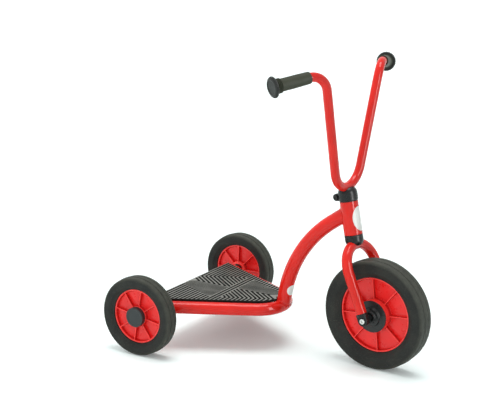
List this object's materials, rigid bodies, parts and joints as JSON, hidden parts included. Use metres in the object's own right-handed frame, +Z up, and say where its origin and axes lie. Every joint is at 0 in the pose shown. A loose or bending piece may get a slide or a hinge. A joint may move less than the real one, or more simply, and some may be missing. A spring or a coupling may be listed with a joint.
{
  "type": "kick scooter",
  "caption": "Small child's kick scooter: V-shaped tube frame with a ribbed deck between the rear wheels, an arched main tube, and a front wheel steered by a U-shaped handlebar.",
  "frame": {"origin": "on the ground, under the middle of the scooter's length and on its plane of symmetry", "axes": "+X forward towards the front wheel, +Y to the rider's left, +Z up"},
  "size_m": [0.6823, 0.4661, 0.6531],
  "materials": {
    "red_paint": "gloss bright-red powder coat on steel tube",
    "red_plastic": "semi-gloss red moulded plastic",
    "tyre_rubber": "dull dark grey solid rubber",
    "grip_rubber": "dull dark olive-grey moulded rubber",
    "mat_rubber": "dull charcoal ribbed rubber",
    "black_plastic": "satin black moulded plastic",
    "black_paint": "black-painted sheet steel",
    "zinc_steel": "dull zinc-plated steel"
  },
  "bodies": {
    "frame": {"main_tube": "red_paint", "head_tube": "red_paint", "deck_rail": "red_paint", "rear_axle_tube": "red_paint", "axle_bush_left": "zinc_steel", "axle_bush_right": "zinc_steel", "rear_axle": "zinc_steel", "deck_plate": "black_paint", "deck_mat": "mat_rubber", "deck_strap_front": "red_paint", "deck_strap_rear": "red_paint", "deck_screw_1": "zinc_steel", "deck_screw_2": "zinc_steel", "deck_screw_3": "zinc_steel", "deck_screw_4": "zinc_steel", "head_bush_lower": "black_plastic", "head_bush_upper": "black_plastic", "rear_spacer_left": "black_plastic", "rear_spacer_right": "black_plastic", "rear_hub_sleeve_left": "zinc_steel", "rear_hub_sleeve_right": "zinc_steel", "rear_washer_left": "zinc_steel", "rear_washer_right": "zinc_steel", "rear_nut_left": "zinc_steel", "rear_nut_right": "zinc_steel"},
    "front_fork": {"fork": "red_paint", "steerer": "zinc_steel", "crown_cover": "black_plastic", "fork_end_left": "black_plastic", "fork_end_right": "black_plastic", "front_axle_bolt": "zinc_steel", "front_axle_nut": "zinc_steel", "front_spacer_left": "black_plastic", "front_spacer_right": "black_plastic", "front_hub_sleeve": "zinc_steel", "handlebar": "red_paint", "handlebar_stem": "red_paint", "clamp_collar": "black_plastic", "clamp_bolt": "black_paint", "clamp_nut": "black_paint", "grip_left": "grip_rubber", "grip_right": "grip_rubber"},
    "front_wheel": {"front_tyre": "tyre_rubber", "front_rim": "red_plastic", "front_bearing_left": "zinc_steel", "front_bearing_right": "zinc_steel", "front_hub_cap_left": "black_plastic", "front_hub_cap_right": "black_plastic"},
    "rear_wheel_left": {"rear_tyre_left": "tyre_rubber", "rear_rim_left": "red_plastic", "rear_bearing_inner_left": "zinc_steel", "rear_bearing_outer_left": "zinc_steel", "rear_hub_cap_left": "black_plastic"},
    "rear_wheel_right": {"rear_tyre_right": "tyre_rubber", "rear_rim_right": "red_plastic", "rear_bearing_inner_right": "zinc_steel", "rear_bearing_outer_right": "zinc_steel", "rear_hub_cap_right": "black_plastic"}
  },
  "joints": [
    {"name": "steering", "type": "hinge", "parent": "frame", "child": "front_fork", "pos_m": [0.1903, 0, 0.12], "axis": [-0.1903, 0, 0.9817], "range_deg": [-54.9, 65.1]},
    {"name": "front_wheel_spin", "type": "hinge", "parent": "front_fork", "child": "front_wheel", "pos_m": [0.22128, -0.00271, 0.11998], "axis": [0.0873, 0.996, 0.0169], "continuous": true},
    {"name": "rear_wheel_left_spin", "type": "hinge", "parent": "frame", "child": "rear_wheel_left", "pos_m": [-0.2527, 0.2114, 0.0884], "axis": [0, 1, 0], "continuous": true},
    {"name": "rear_wheel_right_spin", "type": "hinge", "parent": "frame", "child": "rear_wheel_right", "pos_m": [-0.2527, -0.2114, 0.0884], "axis": [0, 1, 0], "continuous": true}
  ]
}
